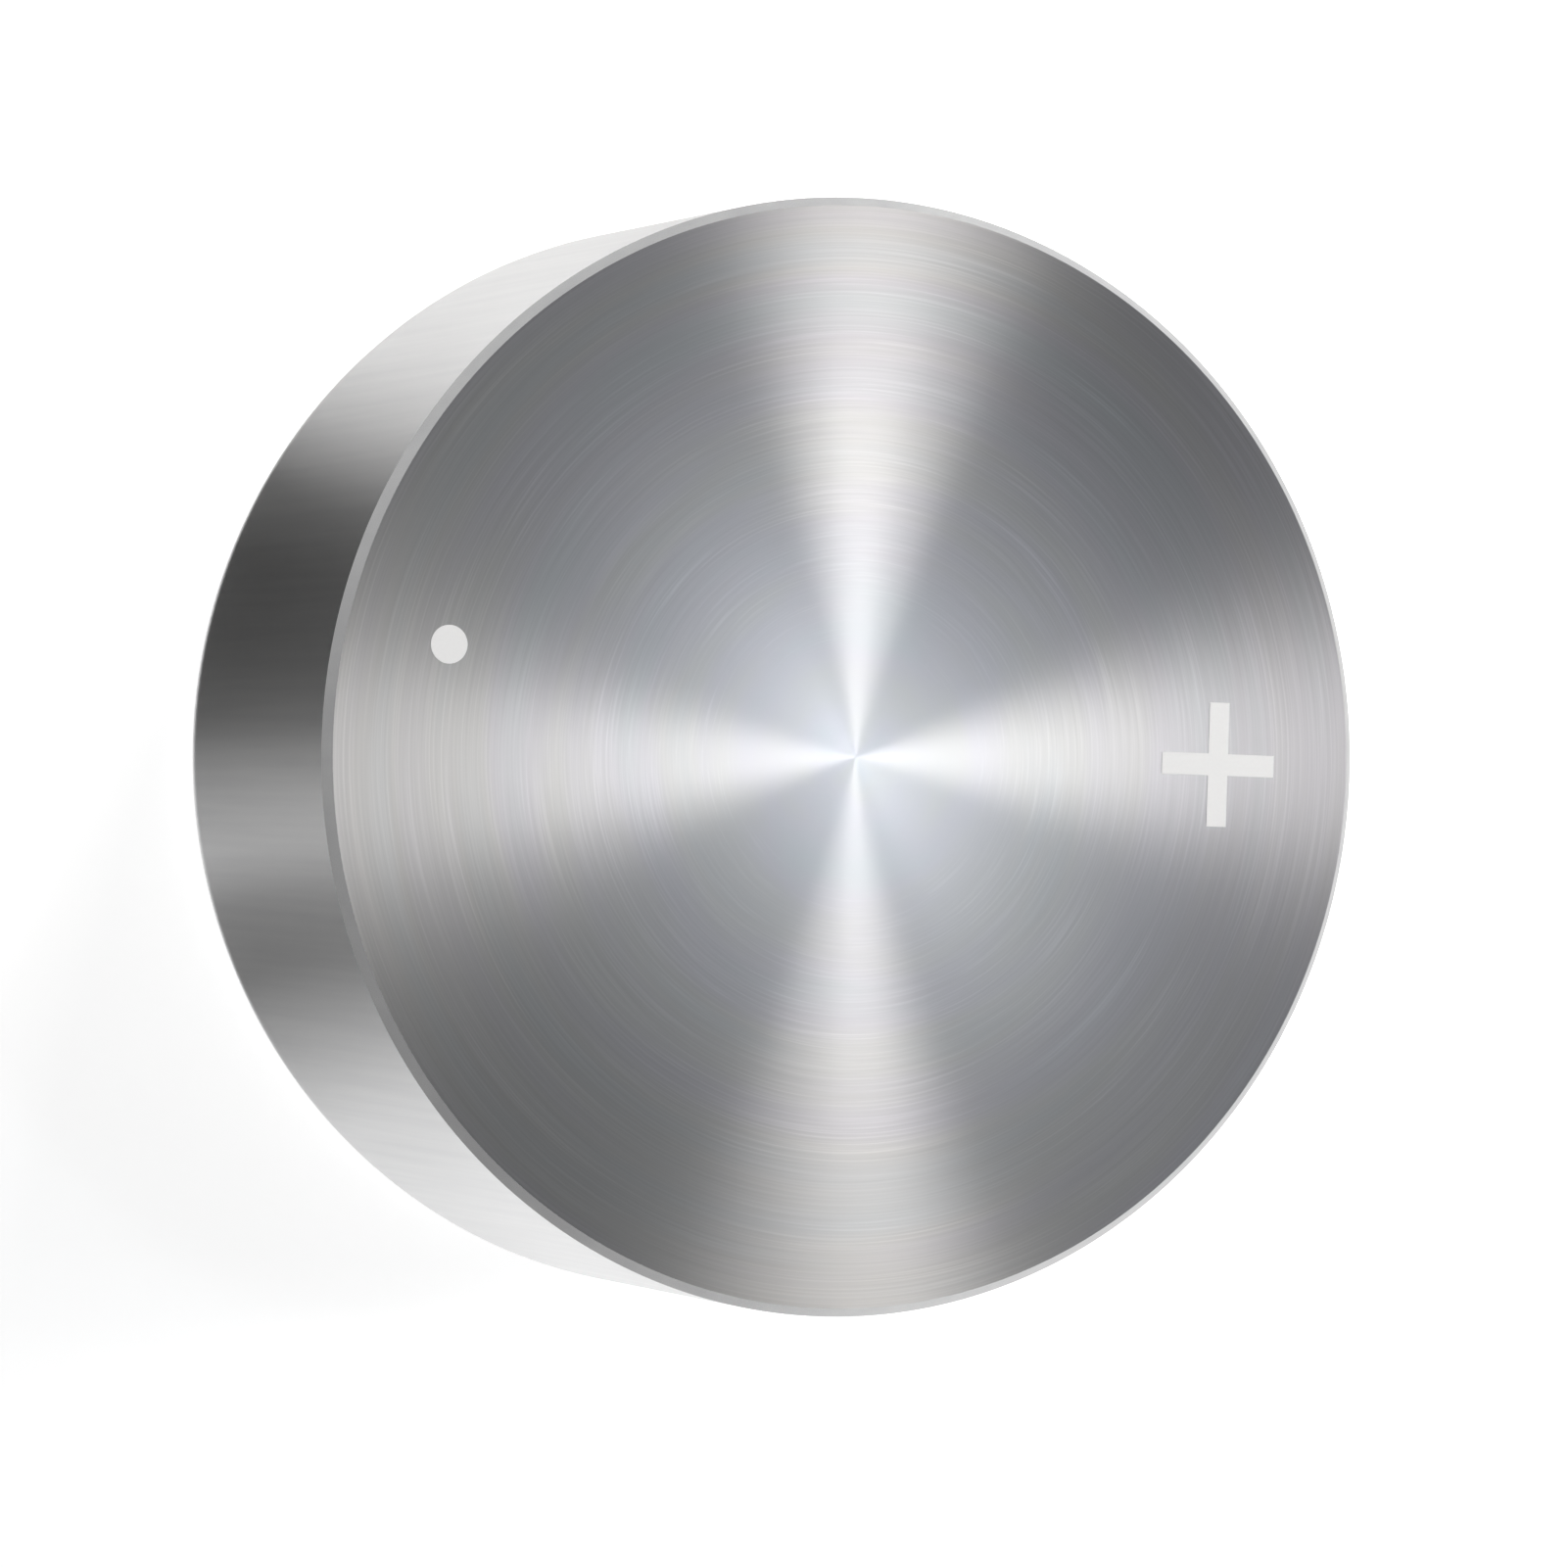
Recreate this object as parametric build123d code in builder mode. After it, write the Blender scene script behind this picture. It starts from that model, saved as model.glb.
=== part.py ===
"""Alkaline button cell, lying on its negative terminal with the positive face up.

The axis is Z. The negative terminal stands on z = 0 and the flat positive face is at the full height.
Every piece is turned about that axis, and neighbours share the values of the faces on which they meet.
The bends that show from outside are round. A bend that is hidden inside is one flat facet, which touches
the round bend at its middle, so that the sheet keeps its thickness there.
"""

import os

from build123d import *

os.makedirs("parts", exist_ok=True)

# Driving dimensions, in millimetres

# Whole cell
cell_diameter = 11.6
cell_height = 5.4

# Positive can: a drawn steel cup, its open end rolled inward over the seal
can_thickness = 0.25
face_chamfer = 0.09
floor_bend_radius = 0.2
crimp_radius = 0.9
lip_flat = 0.15
lip_chamfer = 0.06

# Negative cap: a stepped cup of thin sheet, standing proud of the crimp, its rim folded back outward
cap_thickness = 0.2
cap_projection = 0.3
terminal_bend_radius = 0.2
step_bend_radius = 0.12
shoulder_bend_radius = 0.1
fold_gap = 0.03
fold_edge_clearance = 0.05

# Sealing gasket: a moulded ring of J section, wrapped round the cap's rim and held down by the crimp
gasket_wall = 0.3
gasket_ring_width = 0.35
gasket_ring_recess = 0.08
gasket_ring_chamfer_share = 0.28
gasket_foot = 0.34
gasket_hook_wall = 0.25
gasket_hook_share = 0.4

# Contents, from the positive side to the negative side
cathode_height = 1.75
cathode_chamfer = 0.2
cathode_clearance = 0.02
membrane_thickness = 0.06
pad_thickness = 0.2
separator_clearance = 0.03

# The leg of the facet that stands for a quarter bend, as a share of the bend's radius
bend_leg_share = 2 - 2**0.5

# Places that follow from those sizes

# Positive can
can_radius = cell_diameter / 2
can_bore_radius = can_radius - can_thickness
can_floor_height = cell_height - can_thickness
crimp_height = cap_projection + crimp_radius
crimp_centre_radius = can_radius - crimp_radius
crimp_leg = (crimp_radius - can_thickness) * bend_leg_share
lip_radius = crimp_centre_radius - lip_flat
lip_top_height = cap_projection + can_thickness

# Contents, stacked under the floor of the can
cathode_radius = can_bore_radius - cathode_clearance
cathode_bottom = can_floor_height - cathode_height
separator_radius = can_bore_radius - separator_clearance
membrane_bottom = cathode_bottom - membrane_thickness
pad_bottom = membrane_bottom - pad_thickness

# Negative cap, from the terminal to the rim
terminal_radius = lip_radius - gasket_ring_width
terminal_bore_radius = terminal_radius - cap_thickness
terminal_edge_radius = terminal_bend_radius + cap_thickness
terminal_flat_radius = terminal_radius - terminal_edge_radius
terminal_leg = terminal_bend_radius * bend_leg_share
shoulder_height = lip_top_height + gasket_wall
rim_radius = can_bore_radius - gasket_wall
skirt_radius = rim_radius - cap_thickness - fold_gap
skirt_bore_radius = skirt_radius - cap_thickness
skirt_bottom = shoulder_height + cap_thickness + shoulder_bend_radius
fold_top = pad_bottom - gasket_foot
fold_leg = (cap_thickness + fold_gap / 2) * bend_leg_share
fold_edge_height = skirt_bottom + fold_edge_clearance

# Sealing gasket
ring_height = cap_projection + gasket_ring_recess
ring_chamfer = gasket_ring_width * gasket_ring_chamfer_share
hook_bore_radius = skirt_bore_radius - gasket_hook_wall
hook_end = fold_top - gasket_hook_share * (fold_top - skirt_bottom)


def cap_step(start_height, depth):
    """The cap's step, from this height on the terminal wall over the shoulder and up the skirt.

    The depth is 0 for the sheet's outer face and the cap's thickness for its inner face.
    """
    wall = terminal_radius - depth
    shoulder = shoulder_height + depth
    skirt = skirt_radius - depth
    step_leg = (step_bend_radius + depth) * bend_leg_share
    shoulder_leg = (shoulder_bend_radius + cap_thickness - depth) * bend_leg_share
    Polyline(
        (wall, start_height),
        (wall, shoulder - step_leg),
        (wall + step_leg, shoulder),
        (skirt - shoulder_leg, shoulder),
        (skirt, shoulder + shoulder_leg),
        (skirt, fold_edge_height),
    )


def cap_lining():
    """The cap's inside, from the axis to the skirt, on which the gel lies."""
    Polyline(
        (0, cap_thickness),
        (terminal_bore_radius - terminal_leg, cap_thickness),
        (terminal_bore_radius, cap_thickness + terminal_leg),
    )
    cap_step(cap_thickness + terminal_leg, cap_thickness)


def cap_rim(start_height):
    """The cap's folded rim, from this height in the skirt's bore over the top to the free edge outside."""
    Polyline(
        (skirt_bore_radius, start_height),
        (skirt_bore_radius, fold_top - fold_leg),
        (skirt_bore_radius + fold_leg, fold_top),
        (rim_radius - fold_leg, fold_top),
        (rim_radius, fold_top - fold_leg),
        (rim_radius, fold_edge_height),
    )


# Positive can
with BuildPart() as positive_can:
    with BuildSketch(Plane.XZ) as can_section:
        with BuildLine():
            Polyline(
                (0, can_floor_height),
                (0, cell_height),
                (can_radius, cell_height),
                (can_radius, crimp_height),
            )
            CenterArc((crimp_centre_radius, crimp_height), crimp_radius, 0, -90)
            Polyline(
                (crimp_centre_radius, cap_projection),
                (lip_radius, cap_projection),
                (lip_radius, lip_top_height),
                (can_bore_radius - crimp_leg, lip_top_height),
                (can_bore_radius, lip_top_height + crimp_leg),
                (can_bore_radius, can_floor_height),
                (0, can_floor_height),
            )
        make_face()
        face_corners = can_section.vertices().group_by(Axis.Y)[-1]
        chamfer(face_corners.sort_by(Axis.X)[-1], face_chamfer)
        floor_corners = can_section.vertices().filter_by_position(
            Axis.Y, can_floor_height, can_floor_height
        )
        chamfer(floor_corners.sort_by(Axis.X)[-1], floor_bend_radius * bend_leg_share)
        lip_corners = can_section.vertices().group_by(Axis.Y)[0]
        chamfer(lip_corners.sort_by(Axis.X)[0], lip_chamfer)
    revolve(axis=Axis.Z)
positive_can.part.label = "positive_can"
export_step(positive_can.part, "parts/positive_can.step")

# Negative cap
with BuildPart() as negative_cap:
    with BuildSketch(Plane.XZ):
        with BuildLine():
            Polyline((0, cap_thickness), (0, 0), (terminal_flat_radius, 0))
            CenterArc((terminal_flat_radius, terminal_edge_radius), terminal_edge_radius, -90, 90)
            cap_step(terminal_edge_radius, 0)
            Polyline(
                (skirt_radius, fold_edge_height),
                (skirt_radius, fold_top - cap_thickness),
                (skirt_radius + fold_gap, fold_top - cap_thickness),
                (skirt_radius + fold_gap, fold_edge_height),
                (rim_radius, fold_edge_height),
            )
            cap_rim(fold_edge_height)
            cap_lining()
        make_face()
    revolve(axis=Axis.Z)
negative_cap.part.label = "negative_cap"
export_step(negative_cap.part, "parts/negative_cap.step")

# Sealing gasket
with BuildPart() as sealing_gasket:
    with BuildSketch(Plane.XZ) as gasket_section:
        with BuildLine():
            cap_step(ring_height, 0)
            Polyline(
                (terminal_radius, ring_height),
                (lip_radius, ring_height),
                (lip_radius, lip_top_height),
                (can_bore_radius - crimp_leg, lip_top_height),
                (can_bore_radius, lip_top_height + crimp_leg),
                (can_bore_radius, pad_bottom),
                (hook_bore_radius, pad_bottom),
                (hook_bore_radius, hook_end),
                (skirt_bore_radius, hook_end),
            )
            cap_rim(hook_end)
            Line((rim_radius, fold_edge_height), (skirt_radius, fold_edge_height))
        make_face()
        chamfer(gasket_section.vertices().group_by(Axis.Y)[0], ring_chamfer)
    revolve(axis=Axis.Z)
sealing_gasket.part.label = "sealing_gasket"
export_step(sealing_gasket.part, "parts/sealing_gasket.step")

# Cathode pellet
with BuildPart() as cathode_pellet:
    with BuildSketch(Plane.XY.offset(cathode_bottom)):
        Circle(cathode_radius)
    extrude(amount=cathode_height)
    chamfer(cathode_pellet.edges().sort_by(Axis.Z)[-1], cathode_chamfer)
cathode_pellet.part.label = "cathode_pellet"
export_step(cathode_pellet.part, "parts/cathode_pellet.step")

# Barrier membrane
with BuildPart() as barrier_membrane:
    with BuildSketch(Plane.XY.offset(membrane_bottom)):
        Circle(separator_radius)
    extrude(amount=membrane_thickness)
barrier_membrane.part.label = "barrier_membrane"
export_step(barrier_membrane.part, "parts/barrier_membrane.step")

# Absorbent pad
with BuildPart() as absorbent_pad:
    with BuildSketch(Plane.XY.offset(pad_bottom)):
        Circle(separator_radius)
    extrude(amount=pad_thickness)
absorbent_pad.part.label = "absorbent_pad"
export_step(absorbent_pad.part, "parts/absorbent_pad.step")

# Zinc anode: the gel takes the form of the cap, the gasket's hook and the pad
with BuildPart() as zinc_anode:
    with BuildSketch(Plane.XZ):
        with BuildLine():
            cap_lining()
            Polyline(
                (skirt_bore_radius, fold_edge_height),
                (skirt_bore_radius, hook_end),
                (hook_bore_radius, hook_end),
                (hook_bore_radius, pad_bottom),
                (0, pad_bottom),
                (0, cap_thickness),
            )
        make_face()
    revolve(axis=Axis.Z)
zinc_anode.part.label = "zinc_anode"
export_step(zinc_anode.part, "parts/zinc_anode.step")
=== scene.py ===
"""Looks of the alkaline button cell: spun face, drawn wall, rolled crimp, nylon seal and stepped cap."""

import math

import bmesh
import bpy
from mathutils import Matrix, Vector


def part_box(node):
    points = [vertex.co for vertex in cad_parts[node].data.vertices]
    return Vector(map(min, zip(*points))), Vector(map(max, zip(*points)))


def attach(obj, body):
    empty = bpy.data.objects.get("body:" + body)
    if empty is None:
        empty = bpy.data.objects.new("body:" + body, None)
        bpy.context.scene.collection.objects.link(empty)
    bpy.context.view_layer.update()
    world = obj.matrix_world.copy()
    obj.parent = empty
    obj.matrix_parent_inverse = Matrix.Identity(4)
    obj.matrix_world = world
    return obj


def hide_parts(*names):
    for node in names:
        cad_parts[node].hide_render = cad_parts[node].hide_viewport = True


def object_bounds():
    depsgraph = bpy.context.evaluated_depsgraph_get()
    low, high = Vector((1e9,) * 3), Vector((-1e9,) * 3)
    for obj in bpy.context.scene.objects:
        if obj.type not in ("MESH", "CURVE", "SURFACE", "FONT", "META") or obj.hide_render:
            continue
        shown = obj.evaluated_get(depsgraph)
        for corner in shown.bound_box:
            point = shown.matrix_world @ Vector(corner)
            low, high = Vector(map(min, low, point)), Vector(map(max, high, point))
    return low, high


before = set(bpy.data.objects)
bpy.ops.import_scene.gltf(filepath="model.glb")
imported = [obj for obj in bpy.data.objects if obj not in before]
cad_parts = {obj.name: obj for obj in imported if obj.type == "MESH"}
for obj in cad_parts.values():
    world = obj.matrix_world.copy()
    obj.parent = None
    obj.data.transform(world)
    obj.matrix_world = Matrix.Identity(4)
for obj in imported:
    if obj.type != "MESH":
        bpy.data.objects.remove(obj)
cad_low, cad_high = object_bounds()

# Sizes are in millimetres, and meshes are brought to metres when they are finished
MM = 0.001


def reach(node):
    """A node's radius, lowest height and highest height, in millimetres."""
    low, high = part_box(node)
    return high.x / MM, low.z / MM, high.z / MM


# Sizes read from the frame
can_radius, lip_height, cell_height = reach("positive_can")
rim_radius, terminal_height, fold_top = reach("negative_cap")
can_bore_radius, ring_height, hook_top = reach("sealing_gasket")
can_floor_height = reach("cathode_pellet")[2]
skirt_bore_radius, cap_lining_height = reach("zinc_anode")[:2]

# Sizes of the can
can_thickness = can_radius - can_bore_radius
face_chamfer = 0.09
floor_bend = 0.117
crimp_radius = 0.9
crimp_inner_leg = 0.381
lip_radius = 4.75
lip_chamfer = 0.06
lip_top_height = lip_height + can_thickness

# Sizes of the cap
cap_thickness = cap_lining_height - terminal_height
terminal_radius = 4.4
terminal_bore_radius = terminal_radius - cap_thickness
terminal_edge_radius = 0.4
terminal_inner_leg = 0.117
shoulder_height = 0.85
shoulder_lining_height = shoulder_height + cap_thickness
step_leg = 0.07
step_inner_leg = 0.187
shoulder_leg = 0.176
shoulder_inner_leg = 0.0586
fold_gap = 0.03
fold_leg = 0.126
fold_edge_height = 1.2
skirt_radius = skirt_bore_radius + cap_thickness

# Sizes of the seal
ring_round = 0.098
hook_bore_radius = 4.57
hook_end = 2.14

# Marks on the positive face, half sunk in it
mark_rise = 0.003
mark_thickness = 2 * mark_rise
plus_width = 1.318
plus_height = 1.315
plus_bar = 0.23
plus_turn = math.radians(-2)
plus_place = (4.18, -0.08)
dot_radius = 0.197
dot_place = (-4.47, 1.14)
face_height = cell_height - mark_rise

# How finely the pieces are divided
turn_steps = 288
crimp_segments = 14
terminal_edge_segments = 12
ring_segments = 5
lip_segments = 3
flat_facet = 1
dot_sides = 48
card_sides = 96
weld_distance = 0.0005
sharp_angle = math.radians(40)


def turned(section, closed):
    """A mesh turned about the cell's axis from corners given as (radius, height)."""
    bm = bmesh.new()
    corners = [bm.verts.new((radius, 0, height)) for radius, height in section]
    for start, end in zip(corners, corners[1:]):
        bm.edges.new((start, end))
    if closed:
        bm.edges.new((corners[-1], corners[0]))
    bmesh.ops.spin(
        bm,
        geom=bm.verts[:] + bm.edges[:],
        axis=(0, 0, 1),
        cent=(0, 0, 0),
        angle=2 * math.pi,
        steps=turn_steps,
        use_merge=True,
    )
    bmesh.ops.remove_doubles(bm, verts=bm.verts, dist=weld_distance)
    bmesh.ops.recalc_face_normals(bm, faces=bm.faces)
    return bm


def bend(bm, corner, leg, segments):
    """Bends the ring at a corner of the section: one segment is a flat facet, more are a round."""
    place = Vector(corner)
    ring = []
    for edge in bm.edges:
        ends = [Vector((math.hypot(vert.co.x, vert.co.y), vert.co.z)) for vert in edge.verts]
        if all((end - place).length < weld_distance for end in ends):
            ring.append(edge)
    bmesh.ops.bevel(
        bm,
        geom=ring,
        offset=leg,
        offset_type="OFFSET",
        segments=segments,
        profile=0.5,
        affect="EDGES",
        material=-1,
    )


def new_corners(grown):
    """The corners among the parts that an extrusion has made."""
    return [part for part in grown["geom"] if isinstance(part, bmesh.types.BMVert)]


def finish_piece(bm, name, materials):
    """Turns a mesh made in millimetres into a piece of the cell."""
    bmesh.ops.scale(bm, vec=(MM, MM, MM), verts=bm.verts)
    mesh = bpy.data.meshes.new(name)
    bm.to_mesh(mesh)
    bm.free()
    for material in materials:
        mesh.materials.append(material)
    mesh.shade_smooth()
    mesh.set_sharp_from_angle(angle=sharp_angle)
    piece = bpy.data.objects.new(name, mesh)
    bpy.context.scene.collection.objects.link(piece)
    flats = piece.modifiers.new("keep flats flat", "WEIGHTED_NORMAL")
    flats.keep_sharp = True
    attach(piece, "root")
    return piece


# Shader helpers

BLACK = (0, 0, 0)
WHITE = (1, 1, 1)


def new_material(name):
    """A material with its nodes, its links and its shader."""
    material = bpy.data.materials.new(name)
    material.use_nodes = True
    nodes = material.node_tree.nodes
    return material, nodes, material.node_tree.links, nodes["Principled BSDF"]


def math_node(nodes, links, operation, first, second=None):
    """One step of arithmetic, on numbers or on the outputs of other nodes."""
    node = nodes.new("ShaderNodeMath")
    node.operation = operation
    for socket, value in zip(node.inputs, (first, second)):
        if isinstance(value, (int, float)):
            socket.default_value = value
        elif value is not None:
            links.new(value, socket)
    return node.outputs[0]


def vector_node(nodes, links, operation, first, second=None):
    """One step of vector arithmetic, on tuples or on the outputs of other nodes."""
    node = nodes.new("ShaderNodeVectorMath")
    node.operation = operation
    for socket, value in zip(node.inputs, (first, second)):
        if isinstance(value, tuple):
            socket.default_value = value
        elif value is not None:
            links.new(value, socket)
    return node.outputs["Value" if operation == "LENGTH" else "Vector"]


def ramp_node(nodes, links, factor, stops):
    """A colour ramp from (place, colour) stops."""
    node = nodes.new("ShaderNodeValToRGB")
    elements = node.color_ramp.elements
    while len(elements) < len(stops):
        elements.new(1)
    for element, (place, colour) in zip(elements, stops):
        element.position = place
        element.color = (*colour, 1)
    links.new(factor, node.inputs["Fac"])
    return node.outputs["Color"]


def grey_ramp(nodes, links, factor, stops):
    """A colour ramp from (place, tone) stops."""
    return ramp_node(nodes, links, factor, [(place, (tone, tone, tone)) for place, tone in stops])


def noise_node(nodes, links, vector, scale, detail, roughness=0.5):
    """Cloudy noise, with so many clouds to a unit of the vector."""
    node = nodes.new("ShaderNodeTexNoise")
    node.inputs["Scale"].default_value = scale
    node.inputs["Detail"].default_value = detail
    node.inputs["Roughness"].default_value = roughness
    links.new(vector, node.inputs["Vector"])
    return node.outputs["Fac"]


def bump_node(nodes, links, height, strength, depth):
    """A bumped normal, with its depth in millimetres."""
    node = nodes.new("ShaderNodeBump")
    node.inputs["Strength"].default_value = strength
    node.inputs["Distance"].default_value = depth * MM
    links.new(height, node.inputs["Height"])
    return node.outputs["Normal"]


def place_in_mm(nodes, links):
    """Object coordinates in millimetres."""
    coordinates = nodes.new("ShaderNodeTexCoord")
    mapping = nodes.new("ShaderNodeMapping")
    mapping.inputs["Scale"].default_value = (1 / MM, 1 / MM, 1 / MM)
    links.new(coordinates.outputs["Object"], mapping.inputs["Vector"])
    return mapping.outputs["Vector"]


def away_from_axis(nodes, links, place):
    """The heading straight out from the axis."""
    flat = vector_node(nodes, links, "MULTIPLY", place, (1, 1, 0))
    return vector_node(nodes, links, "NORMALIZE", flat)


def spun_lines_group():
    """Thin arcs round the axis in loose clusters, and broad bands, from Object coordinates in millimetres."""
    group = bpy.data.node_groups.new("spun lines", "ShaderNodeTree")
    sockets = group.interface
    sockets.new_socket("Place", in_out="INPUT", socket_type="NodeSocketVector")
    sockets.new_socket("Lines per mm", in_out="INPUT", socket_type="NodeSocketFloat")
    sockets.new_socket("Lines", in_out="OUTPUT", socket_type="NodeSocketFloat")
    sockets.new_socket("Bands", in_out="OUTPUT", socket_type="NodeSocketFloat")
    sockets.new_socket("Outward", in_out="OUTPUT", socket_type="NodeSocketFloat")
    nodes, links = group.nodes, group.links
    inputs = nodes.new("NodeGroupInput").outputs
    outputs = nodes.new("NodeGroupOutput").inputs
    flat = vector_node(nodes, links, "MULTIPLY", inputs["Place"], (1, 1, 0))
    radius = vector_node(nodes, links, "LENGTH", flat)
    heading = vector_node(nodes, links, "NORMALIZE", flat)
    outward = math_node(nodes, links, "DIVIDE", radius, can_radius)
    links.new(outward, outputs["Outward"])

    def rings(per_mm, breaks):
        """Noise in rings: so many to the millimetre, broken more often round the axis as breaks grows."""
        row = vector_node(nodes, links, "MULTIPLY", heading, (breaks, breaks, 0))
        depth = nodes.new("ShaderNodeCombineXYZ")
        links.new(math_node(nodes, links, "MULTIPLY", radius, per_mm), depth.inputs["Z"])
        place = vector_node(nodes, links, "ADD", row, depth.outputs[0])
        return noise_node(nodes, links, place, scale=1.0, detail=2)

    fine = rings(inputs["Lines per mm"], breaks=2.2)
    bright = ramp_node(nodes, links, fine, [(0.52, BLACK), (0.74, WHITE)])
    cluster = ramp_node(nodes, links, rings(2.6, breaks=1.3), [(0.4, BLACK), (0.66, WHITE)])
    clear_centre = ramp_node(nodes, links, outward, [(0.06, BLACK), (0.5, WHITE)])
    arcs = math_node(nodes, links, "MULTIPLY", bright, cluster)
    arc_strength = 0.4
    both = math_node(nodes, links, "ADD", math_node(nodes, links, "MULTIPLY", arcs, arc_strength), fine)
    links.new(math_node(nodes, links, "MULTIPLY", both, clear_centre), outputs["Lines"])
    links.new(rings(1.1, breaks=0.5), outputs["Bands"])
    return group


def spun_lines_node(nodes, links, group, place, lines_per_mm):
    """The outputs of the spun lines, at this fineness."""
    spun = nodes.new("ShaderNodeGroup")
    spun.node_tree = group
    links.new(place, spun.inputs["Place"])
    spun.inputs["Lines per mm"].default_value = lines_per_mm
    return spun.outputs


# Materials


def spun_nickel(lines_group):
    """The positive face: nickel plate with fine spun lines that draw lamps out into radial streaks."""
    # plate_tones is painted light. By distance from the axis the plate is lighter round the middle, darkest
    # at three quarters of the radius and a little lighter at the rim. This stands in for the glow of the
    # lamps round the middle of the face.
    plate_tones = [
        (0.0, (0.635, 0.638, 0.644)),
        (0.25, (0.64, 0.642, 0.648)),
        (0.45, (0.585, 0.587, 0.592)),
        (0.75, (0.55, 0.551, 0.555)),
        (1.0, (0.59, 0.59, 0.594)),
    ]
    band_tints = [
        (0.3, (0.985, 1.0, 1.01)),
        (0.44, (1.01, 0.985, 1.012)),
        (0.57, (1.015, 0.998, 0.978)),
        (0.7, (0.99, 1.0, 1.005)),
    ]
    line_tones = [(0.25, 0.945), (0.5, 1.0), (1.0, 1.13)]
    roughness_outward = [(0.0, 0.276), (0.4, 0.385), (1.0, 0.56)]
    material, nodes, links, shader = new_material("spun_nickel")
    place = place_in_mm(nodes, links)
    spun = spun_lines_node(nodes, links, lines_group, place, lines_per_mm=46.0)
    links.new(away_from_axis(nodes, links, place), shader.inputs["Tangent"])
    # The face's colour carries the painted glow round its middle and the painted shade toward its rim
    plate = ramp_node(nodes, links, spun["Outward"], plate_tones)
    lit = grey_ramp(nodes, links, spun["Lines"], line_tones)
    tint = ramp_node(nodes, links, spun["Bands"], band_tints)
    tinted = vector_node(nodes, links, "MULTIPLY", plate, tint)
    links.new(vector_node(nodes, links, "MULTIPLY", tinted, lit), shader.inputs["Base Color"])
    rough = grey_ramp(nodes, links, spun["Outward"], roughness_outward)
    links.new(rough, shader.inputs["Roughness"])
    shader.inputs["Metallic"].default_value = 1.0
    shader.inputs["Anisotropic"].default_value = 1.0
    return material


def drawn_nickel():
    """The can's wall: nickel plate with faint draw marks along the axis."""
    material, nodes, links, shader = new_material("drawn_nickel")
    place = place_in_mm(nodes, links)
    drawn = vector_node(nodes, links, "MULTIPLY", place, (9, 9, 0.25))
    marks = noise_node(nodes, links, drawn, scale=1.0, detail=3)
    tone = ramp_node(nodes, links, marks, [(0.3, (0.67, 0.67, 0.675)), (0.7, (0.72, 0.72, 0.72))])
    links.new(tone, shader.inputs["Base Color"])
    round_axis = vector_node(nodes, links, "CROSS_PRODUCT", place, (0, 0, -1))
    links.new(vector_node(nodes, links, "NORMALIZE", round_axis), shader.inputs["Tangent"])
    shader.inputs["Metallic"].default_value = 1.0
    shader.inputs["Roughness"].default_value = 0.3
    shader.inputs["Anisotropic"].default_value = 0.5
    return material


def turned_edge():
    """The narrow chamfer round the face: smoother than the wall."""
    material, nodes, links, shader = new_material("turned_edge")
    wear = noise_node(nodes, links, place_in_mm(nodes, links), scale=2.5, detail=3)
    tone = ramp_node(nodes, links, wear, [(0.3, (0.62, 0.62, 0.625)), (0.7, (0.68, 0.68, 0.68))])
    links.new(tone, shader.inputs["Base Color"])
    shader.inputs["Metallic"].default_value = 1.0
    shader.inputs["Roughness"].default_value = 0.14
    return material


def satin_nickel(lines_group):
    """The cap: satin nickel plate with soft spun lines."""
    material, nodes, links, shader = new_material("satin_nickel")
    place = place_in_mm(nodes, links)
    spun = spun_lines_node(nodes, links, lines_group, place, lines_per_mm=24.0)
    plate_tones = [(0.3, (0.60, 0.60, 0.59)), (0.8, (0.70, 0.70, 0.69))]
    links.new(ramp_node(nodes, links, spun["Lines"], plate_tones), shader.inputs["Base Color"])
    links.new(away_from_axis(nodes, links, place), shader.inputs["Tangent"])
    cloud = noise_node(nodes, links, place, scale=0.9, detail=4, roughness=0.6)
    rough = nodes.new("ShaderNodeMapRange")
    links.new(cloud, rough.inputs["Value"])
    rough.inputs["From Min"].default_value = 0.3
    rough.inputs["From Max"].default_value = 0.7
    rough.inputs["To Min"].default_value = 0.29
    rough.inputs["To Max"].default_value = 0.4
    links.new(rough.outputs[0], shader.inputs["Roughness"])
    grooves = bump_node(nodes, links, spun["Lines"], strength=0.25, depth=0.002)
    links.new(grooves, shader.inputs["Normal"])
    shader.inputs["Metallic"].default_value = 1.0
    shader.inputs["Anisotropic"].default_value = 0.6
    return material


def moulded_nylon():
    """The seal: natural nylon."""
    material, nodes, links, shader = new_material("moulded_nylon")
    place = place_in_mm(nodes, links)
    cloud = noise_node(nodes, links, place, scale=1.5, detail=3)
    tone = ramp_node(nodes, links, cloud, [(0.3, (0.68, 0.67, 0.61)), (0.7, (0.76, 0.75, 0.70))])
    links.new(tone, shader.inputs["Base Color"])
    grain = noise_node(nodes, links, place, scale=22.0, detail=3)
    links.new(bump_node(nodes, links, grain, strength=0.3, depth=0.004), shader.inputs["Normal"])
    shader.inputs["Roughness"].default_value = 0.45
    return material


def frosted_mark():
    """The marks on the face: a light frosted etch."""
    material, nodes, links, shader = new_material("frosted_mark")
    grain = noise_node(nodes, links, place_in_mm(nodes, links), scale=30.0, detail=2)
    tone = ramp_node(nodes, links, grain, [(0.3, (0.975, 0.975, 0.978)), (0.7, WHITE)])
    links.new(tone, shader.inputs["Base Color"])
    shader.inputs["Roughness"].default_value = 0.6
    shader.inputs["Specular IOR Level"].default_value = 1.0
    return material


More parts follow.
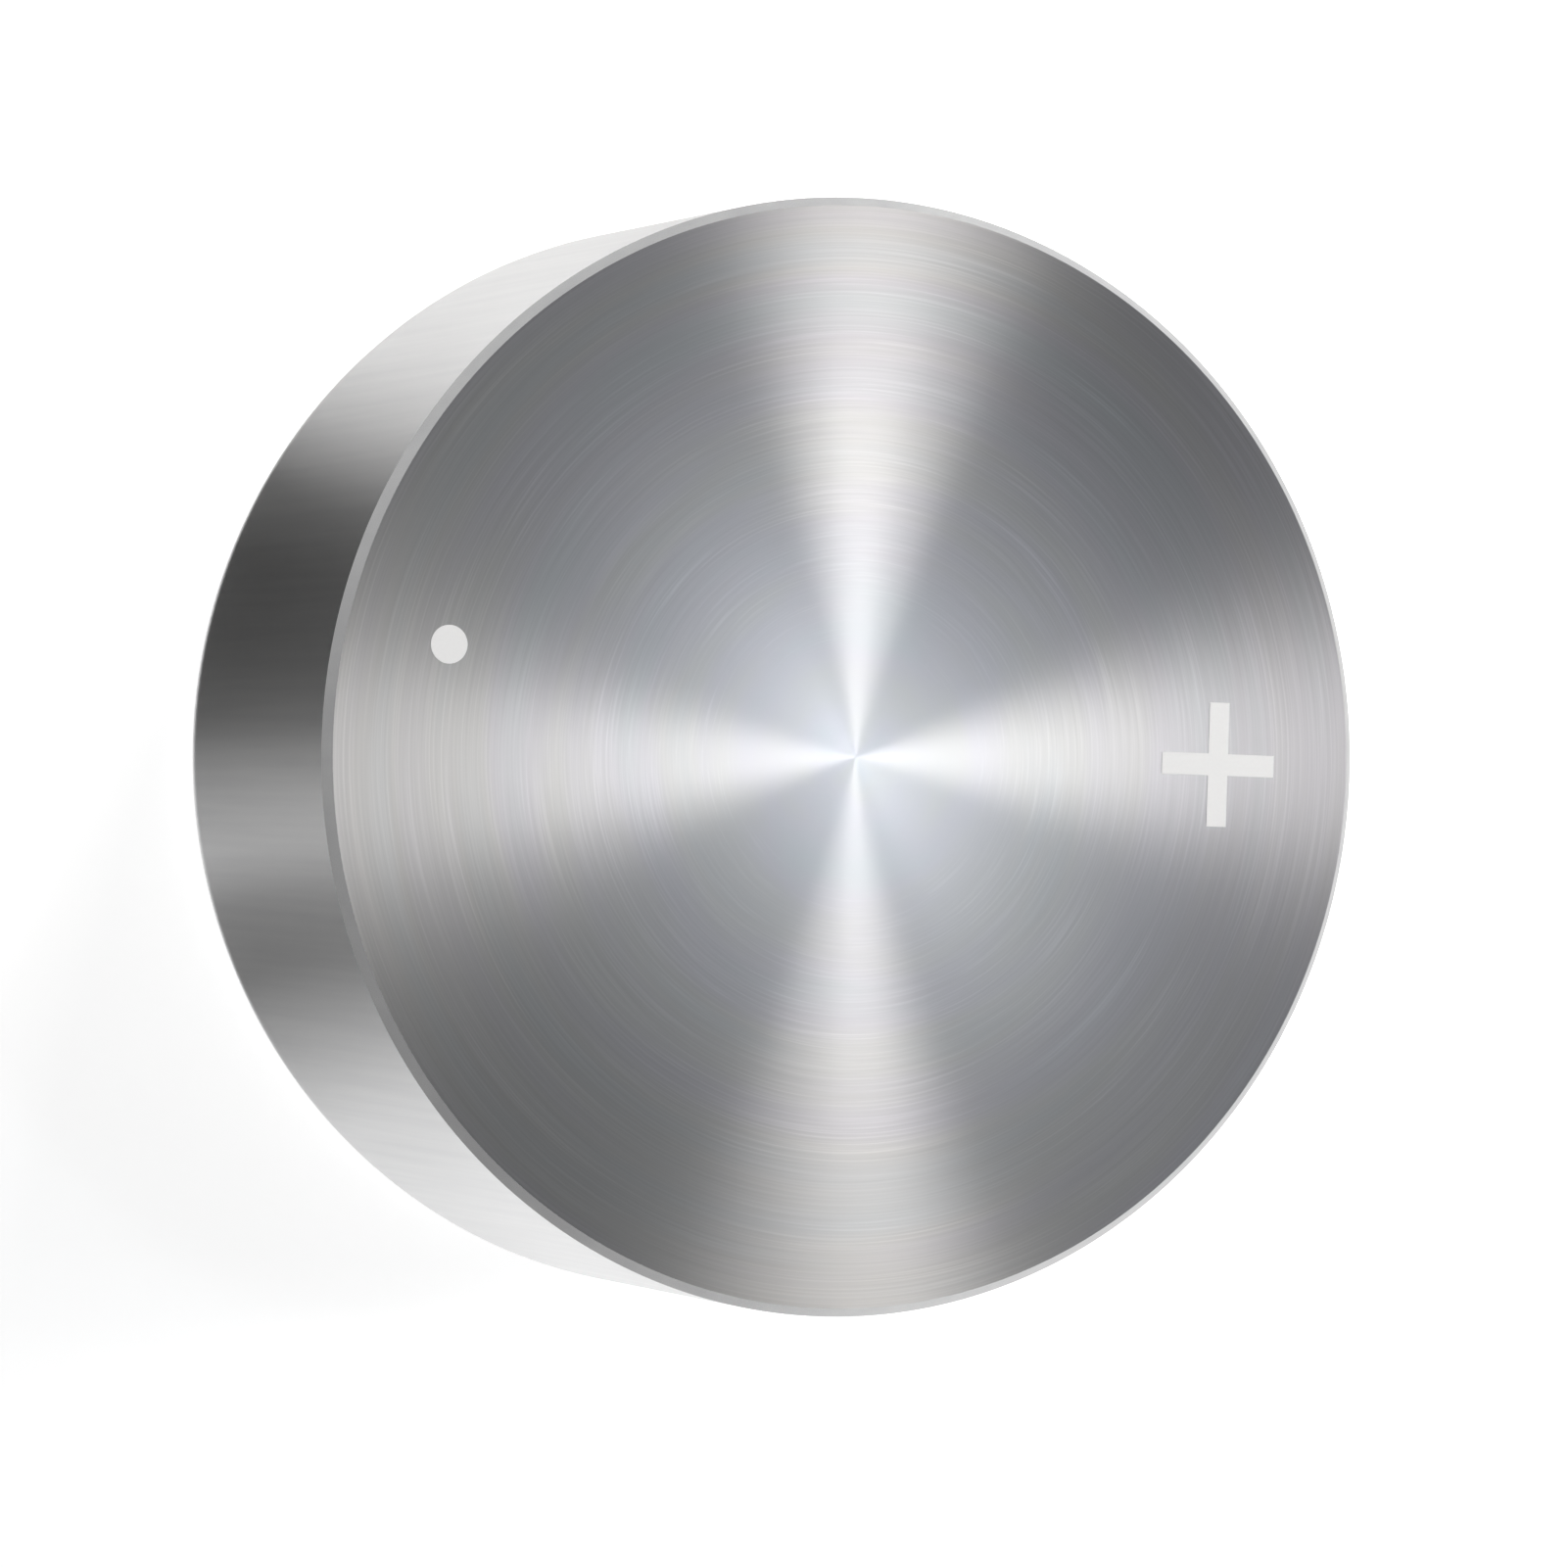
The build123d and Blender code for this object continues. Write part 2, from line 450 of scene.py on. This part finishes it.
def powder(name, dark, light, scale, rough):
    """A grainy filling: pressed powder, film, felt or gel."""
    material, nodes, links, shader = new_material(name)
    grain = noise_node(nodes, links, place_in_mm(nodes, links), scale, detail=5, roughness=0.7)
    links.new(ramp_node(nodes, links, grain, [(0.35, dark), (0.65, light)]), shader.inputs["Base Color"])
    links.new(bump_node(nodes, links, grain, strength=0.5, depth=0.02), shader.inputs["Normal"])
    shader.inputs["Roughness"].default_value = rough
    return material


lines = spun_lines_group()
face_metal = spun_nickel(lines)
edge_metal = turned_edge()
wall_metal = drawn_nickel()
cap_metal = satin_nickel(lines)
nylon = moulded_nylon()
mark_film = frosted_mark()

# Positive can
can = turned(
    [
        (0, face_height),
        (can_radius, face_height),
        (can_radius, lip_height),
        (lip_radius, lip_height),
        (lip_radius, lip_top_height),
        (can_bore_radius, lip_top_height),
        (can_bore_radius, can_floor_height),
        (0, can_floor_height),
    ],
    closed=False,
)
bend(can, (can_radius, lip_height), crimp_radius, crimp_segments)
bend(can, (can_bore_radius, lip_top_height), crimp_inner_leg, flat_facet)
bend(can, (can_bore_radius, can_floor_height), floor_bend, flat_facet)
bend(can, (lip_radius, lip_height), lip_chamfer, lip_segments)
bend(can, (can_radius, face_height), face_chamfer, flat_facet)
can_metals = [face_metal, edge_metal, wall_metal]
for face in can.faces:
    height = face.calc_center_median().z
    if height > face_height - weld_distance:
        metal = face_metal
    elif height > face_height - face_chamfer:
        metal = edge_metal
    else:
        metal = wall_metal
    face.material_index = can_metals.index(metal)
can_piece = finish_piece(can, "can_shell", can_metals)
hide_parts("positive_can")

# Negative cap
cap = turned(
    [
        (0, terminal_height),
        (terminal_radius, terminal_height),
        (terminal_radius, shoulder_height),
        (skirt_radius, shoulder_height),
        (skirt_radius, fold_top - cap_thickness),
        (skirt_radius + fold_gap, fold_top - cap_thickness),
        (skirt_radius + fold_gap, fold_edge_height),
        (rim_radius, fold_edge_height),
        (rim_radius, fold_top),
        (skirt_bore_radius, fold_top),
        (skirt_bore_radius, shoulder_lining_height),
        (terminal_bore_radius, shoulder_lining_height),
        (terminal_bore_radius, cap_lining_height),
        (0, cap_lining_height),
    ],
    closed=False,
)
bend(cap, (terminal_radius, terminal_height), terminal_edge_radius, terminal_edge_segments)
bend(cap, (terminal_radius, shoulder_height), step_leg, flat_facet)
bend(cap, (skirt_radius, shoulder_height), shoulder_leg, flat_facet)
bend(cap, (rim_radius, fold_top), fold_leg, flat_facet)
bend(cap, (skirt_bore_radius, fold_top), fold_leg, flat_facet)
bend(cap, (skirt_bore_radius, shoulder_lining_height), shoulder_inner_leg, flat_facet)
bend(cap, (terminal_bore_radius, shoulder_lining_height), step_inner_leg, flat_facet)
bend(cap, (terminal_bore_radius, cap_lining_height), terminal_inner_leg, flat_facet)
cap_piece = finish_piece(cap, "cap_shell", [cap_metal])
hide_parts("negative_cap")

# Sealing gasket
seal = turned(
    [
        (terminal_radius, ring_height),
        (lip_radius, ring_height),
        (lip_radius, lip_top_height),
        (can_bore_radius, lip_top_height),
        (can_bore_radius, hook_top),
        (hook_bore_radius, hook_top),
        (hook_bore_radius, hook_end),
        (skirt_bore_radius, hook_end),
        (skirt_bore_radius, fold_top),
        (rim_radius, fold_top),
        (rim_radius, fold_edge_height),
        (skirt_radius, fold_edge_height),
        (skirt_radius, shoulder_height),
        (terminal_radius, shoulder_height),
    ],
    closed=True,
)
bend(seal, (terminal_radius, ring_height), ring_round, ring_segments)
bend(seal, (lip_radius, ring_height), ring_round, ring_segments)
bend(seal, (can_bore_radius, lip_top_height), crimp_inner_leg, flat_facet)
bend(seal, (skirt_bore_radius, fold_top), fold_leg, flat_facet)
bend(seal, (rim_radius, fold_top), fold_leg, flat_facet)
bend(seal, (skirt_radius, shoulder_height), shoulder_leg, flat_facet)
bend(seal, (terminal_radius, shoulder_height), step_leg, flat_facet)
seal_piece = finish_piece(seal, "seal_ring", [nylon])
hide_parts("sealing_gasket")

# Marks on the positive face


def raise_mark(bm, place):
    """Gives a flat mark its thickness and lays it on the face."""
    top = new_corners(bmesh.ops.extrude_face_region(bm, geom=bm.faces[:]))
    bmesh.ops.translate(bm, vec=(0, 0, mark_thickness), verts=top)
    bmesh.ops.recalc_face_normals(bm, faces=bm.faces)
    bmesh.ops.translate(bm, vec=(*place, cell_height - mark_thickness), verts=bm.verts)


plus = bmesh.new()
bmesh.ops.create_grid(plus, x_segments=1, y_segments=1, size=plus_bar / 2)
for edge in plus.edges[:]:
    outward = (edge.verts[0].co + edge.verts[1].co).normalized()
    span = plus_width if abs(outward.x) > abs(outward.y) else plus_height
    ends = new_corners(bmesh.ops.extrude_edge_only(plus, edges=[edge]))
    bmesh.ops.translate(plus, vec=outward * (span - plus_bar) / 2, verts=ends)
bmesh.ops.rotate(plus, cent=(0, 0, 0), matrix=Matrix.Rotation(plus_turn, 3, "Z"), verts=plus.verts)
raise_mark(plus, plus_place)
finish_piece(plus, "plus_mark", [mark_film])

dot = bmesh.new()
bmesh.ops.create_circle(dot, cap_ends=True, segments=dot_sides, radius=dot_radius)
raise_mark(dot, dot_place)
finish_piece(dot, "dot_mark", [mark_film])

# Contents inside the cell
fillings = {
    "cathode_pellet": powder("pressed_black", (0.02, 0.02, 0.022), (0.05, 0.05, 0.052), 14.0, 0.75),
    "barrier_membrane": powder("film", (0.70, 0.72, 0.74), (0.78, 0.80, 0.82), 3.0, 0.4),
    "absorbent_pad": powder("felt", (0.70, 0.69, 0.63), (0.82, 0.81, 0.77), 18.0, 0.9),
    "zinc_anode": powder("zinc_gel", (0.24, 0.25, 0.27), (0.42, 0.43, 0.45), 20.0, 0.5),
}
for node, material in fillings.items():
    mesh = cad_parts[node].data
    mesh.materials.clear()
    mesh.materials.append(material)

# Stage


def matt_sheet(bm, name, paint_name):
    """A flat sheet from a mesh in metres, with the nodes of its matt paint."""
    mesh = bpy.data.meshes.new(name)
    bm.to_mesh(mesh)
    bm.free()
    sheet = bpy.data.objects.new(name, mesh)
    bpy.context.scene.collection.objects.link(sheet)
    paint, nodes, links, shader = new_material(paint_name)
    shader.inputs["Roughness"].default_value = 1.0
    shader.inputs["Specular IOR Level"].default_value = 0.0
    mesh.materials.append(paint)
    return sheet, nodes, links, shader


# Floor: matt and pale, lifted to white where it is seen, and see-through from below
floor_grey = (0.86, 0.86, 0.86, 1)
floor_lift = 0.63
floor_gap = 0.005
floor_half_width = 1500.0
floor_grid = bmesh.new()
bmesh.ops.create_grid(floor_grid, x_segments=1, y_segments=1, size=floor_half_width * MM)
bmesh.ops.translate(floor_grid, vec=(0, 0, cad_low.z - floor_gap * MM), verts=floor_grid.verts)
floor, nodes, links, shader = matt_sheet(floor_grid, "floor", "pale_floor")
shader.inputs["Base Color"].default_value = floor_grey
rays = nodes.new("ShaderNodeLightPath").outputs
seen = math_node(nodes, links, "ADD", rays["Is Camera Ray"], rays["Is Transmission Ray"])
seen = math_node(nodes, links, "ADD", seen, rays["Is Glossy Ray"])
links.new(math_node(nodes, links, "MULTIPLY", seen, floor_lift), shader.inputs["Emission Strength"])
shader.inputs["Emission Color"].default_value = (1, 1, 1, 1)
from_below = nodes.new("ShaderNodeNewGeometry").outputs["Backfacing"]
links.new(math_node(nodes, links, "SUBTRACT", 1.0, from_below), shader.inputs["Alpha"])

# Cards round the cell, just above the floor, which only reflections see
card_black = (0.02, 0.02, 0.02, 1)
card_height = 0.02


def ring_card(name, inner_radius, outer_radius):
    """A flat ring of black card round the cell, with the nodes of its paint."""
    ring = bmesh.new()
    bmesh.ops.create_circle(ring, segments=card_sides, radius=inner_radius)
    outer = new_corners(bmesh.ops.extrude_edge_only(ring, edges=ring.edges[:]))
    widen = outer_radius / inner_radius
    bmesh.ops.scale(ring, vec=(widen, widen, 1), verts=outer)
    bmesh.ops.translate(ring, vec=(0, 0, card_height), verts=ring.verts)
    bmesh.ops.scale(ring, vec=(MM, MM, MM), verts=ring.verts)
    card, nodes, links, shader = matt_sheet(ring, name, name)
    card.visible_camera = False
    card.visible_diffuse = False
    card.visible_transmission = False
    card.visible_shadow = False
    shader.inputs["Base Color"].default_value = card_black
    # Each card glows with the emission colour it is given
    shader.inputs["Emission Strength"].default_value = 1.0
    return nodes, links, shader


def turn_stops(stops):
    """Stops given by degrees from the left of the cell, as shares of a full turn."""
    return [((degrees + 180) / 360, tone) for degrees, tone in stops]


# Flag: dark and feathered on the left of the cell, pale on the right, by degrees from the left. Its density
# by angle is painted shade that only reflections show: in the wall it gives dark bands where the floor beside
# the cell lies in shade. On the right it glows an even pale grey.
flag_gap = 0.1
flag_reach = 6.0
flag_inner_radius = can_radius + flag_gap
flag_outer_radius = can_radius + flag_reach
flag_shade_density = [
    (-125, 1.0),
    (-100, 0.0),
    (-62, 0.0),
    (-47, 0.12),
    (-35, 0.53),
    (-26, 0.79),
    (-18, 0.75),
    (-11, 0.47),
    (-4, 0.63),
    (4, 0.89),
    (11, 0.94),
    (14, 0.95),
    (24, 0.96),
    (33, 0.905),
    (38, 0.74),
    (44, 0.525),
    (52, 0.345),
    (62, 0.29),
    (75, 0.32),
    (90, 0.39),
    (130, 0.0),
    (150, 1.0),
]
flag_glow = [(-100, 0.9), (-99, 0.0), (129, 0.0), (130, 0.9)]
nodes, links, shader = ring_card("dark_flag", flag_inner_radius, flag_outer_radius)
parts = nodes.new("ShaderNodeSeparateXYZ")
links.new(nodes.new("ShaderNodeTexCoord").outputs["Object"], parts.inputs[0])
leftward = math_node(nodes, links, "MULTIPLY", parts.outputs["X"], -1.0)
from_left = math_node(nodes, links, "ARCTAN2", parts.outputs["Y"], leftward)
turn_share = math_node(nodes, links, "DIVIDE", from_left, 2 * math.pi)
turn_share = math_node(nodes, links, "ADD", turn_share, 0.5)
# The flag's painted shade, by angle round the cell
links.new(grey_ramp(nodes, links, turn_share, turn_stops(flag_shade_density)), shader.inputs["Alpha"])
links.new(grey_ramp(nodes, links, turn_share, turn_stops(flag_glow)), shader.inputs["Emission Color"])

# Pale card: lit from within and brighter toward the cell, so that the edge of the face changes evenly
pale_outer_radius = 1400.0
pale_tones = [(0.0, 0.72), (0.05, 0.74), (0.095, 0.80), (0.174, 0.88), (0.32, 0.94), (1.0, 0.94)]
nodes, links, shader = ring_card("pale_card", flag_outer_radius, pale_outer_radius)
away = vector_node(nodes, links, "LENGTH", place_in_mm(nodes, links))
nearness = math_node(nodes, links, "DIVIDE", flag_outer_radius, away)
links.new(grey_ramp(nodes, links, nearness, pale_tones), shader.inputs["Emission Color"])

# World: pale near the floor and darker overhead, and a little paler toward the top of the picture
sky_lean = 0.15
sky_tones = [
    (0.0, 0.72),
    (0.13, 0.70),
    (0.32, 0.64),
    (0.39, 0.52),
    (0.45, 0.37),
    (0.57, 0.33),
    (0.75, 0.05),
]
world = bpy.data.worlds.new("studio")
world.use_nodes = True
bpy.context.scene.world = world
nodes, links = world.node_tree.nodes, world.node_tree.links
sky = nodes.new("ShaderNodeSeparateXYZ")
links.new(nodes.new("ShaderNodeTexCoord").outputs["Generated"], sky.inputs[0])
leaned = math_node(nodes, links, "MULTIPLY", sky.outputs["Y"], sky_lean)
sky_height = math_node(nodes, links, "SUBTRACT", sky.outputs["Z"], leaned)
sky_height = math_node(nodes, links, "ADD", sky_height, sky_lean)
links.new(grey_ramp(nodes, links, sky_height, sky_tones), nodes["Background"].inputs["Color"])

# Lamps
face_centre = Vector((0, 0, cell_height * MM))


def softbox(name, toward, distance, across, tall, power, colour):
    """A soft lamp that looks at the face from this direction, with its sizes in millimetres."""
    data = bpy.data.lights.new(name, "AREA")
    data.shape = "RECTANGLE"
    data.size = across * MM
    data.size_y = tall * MM
    data.energy = power
    data.color = colour
    lamp = bpy.data.objects.new(name, data)
    heading = Vector(toward).normalized()
    lamp.location = face_centre + heading * distance * MM
    lamp.rotation_mode = "QUATERNION"
    lamp.rotation_quaternion = heading.to_track_quat("Z", "Y")
    lamp.visible_camera = False
    bpy.context.scene.collection.objects.link(lamp)


warm = (1.0, 0.98, 0.955)
plain = (1.0, 1.0, 1.0)
cool = (0.89, 0.945, 1.0)

# A wide lamp and a narrow core together give a streak with a bright middle
key_side = (0.94, 0.020, 0.34)
softbox("key_right", key_side, distance=90, across=31, tall=30, power=0.0236, colour=warm)
softbox("key_core", key_side, distance=90, across=10.3, tall=30, power=0.0104, colour=warm)
top_side = (0.413, 0.837, 0.3590)
softbox("top_light", top_side, distance=95, across=48.5, tall=28, power=0.0525, colour=warm)
top_core_side = (0.403, 0.840, 0.3625)
softbox("top_core", top_core_side, distance=65, across=15.5, tall=19, power=0.0122, colour=warm)

# Single lamps for the left side and for the middle of the face
left_side = (-0.81, -0.033, 0.585)
softbox("left_fill", left_side, distance=120, across=58, tall=30, power=0.0375, colour=plain)
centre_side = (0.3964, 0.0, 0.9181)
softbox("centre_glow", centre_side, distance=60, across=4.8, tall=4.8, power=0.00135, colour=cool)
cross_side = (0.5444, -0.148, 0.8257)
softbox("cross_glow", cross_side, distance=60, across=17, tall=8, power=0.00128, colour=cool)

# Camera: turned about the upright of the picture, with the middle of the face on its own pixel
camera_turn = math.radians(23.355)
camera_distance = 68.8 * MM
photo_size = 1601
focal_pixels = 6784
face_pixel = (873.9, 773.1)
sensor_width = 36.0
right = Vector((math.cos(camera_turn), 0, math.sin(camera_turn)))
up = Vector((0, 1, 0))
back = Vector((-math.sin(camera_turn), 0, math.cos(camera_turn)))
camera_data = bpy.data.cameras.new("camera")
camera_data.sensor_width = sensor_width
camera_data.lens = focal_pixels / photo_size * sensor_width
camera_data.clip_start = 0.001
camera_data.clip_end = 10.0
camera = bpy.data.objects.new("camera", camera_data)
bpy.context.scene.collection.objects.link(camera)
bpy.context.scene.camera = camera
camera_place = face_centre + back * camera_distance
metres_per_pixel = camera_distance / focal_pixels
aim = face_centre - right * (face_pixel[0] - photo_size / 2) * metres_per_pixel
aim = aim + up * (face_pixel[1] - photo_size / 2) * metres_per_pixel
look = (camera_place - aim).normalized()
side = up.cross(look).normalized()
rise = look.cross(side)
turn = Matrix((side, rise, look)).transposed()
camera.matrix_world = Matrix.Translation(camera_place) @ turn.to_4x4()

bpy.context.scene.view_settings.view_transform = "Standard"
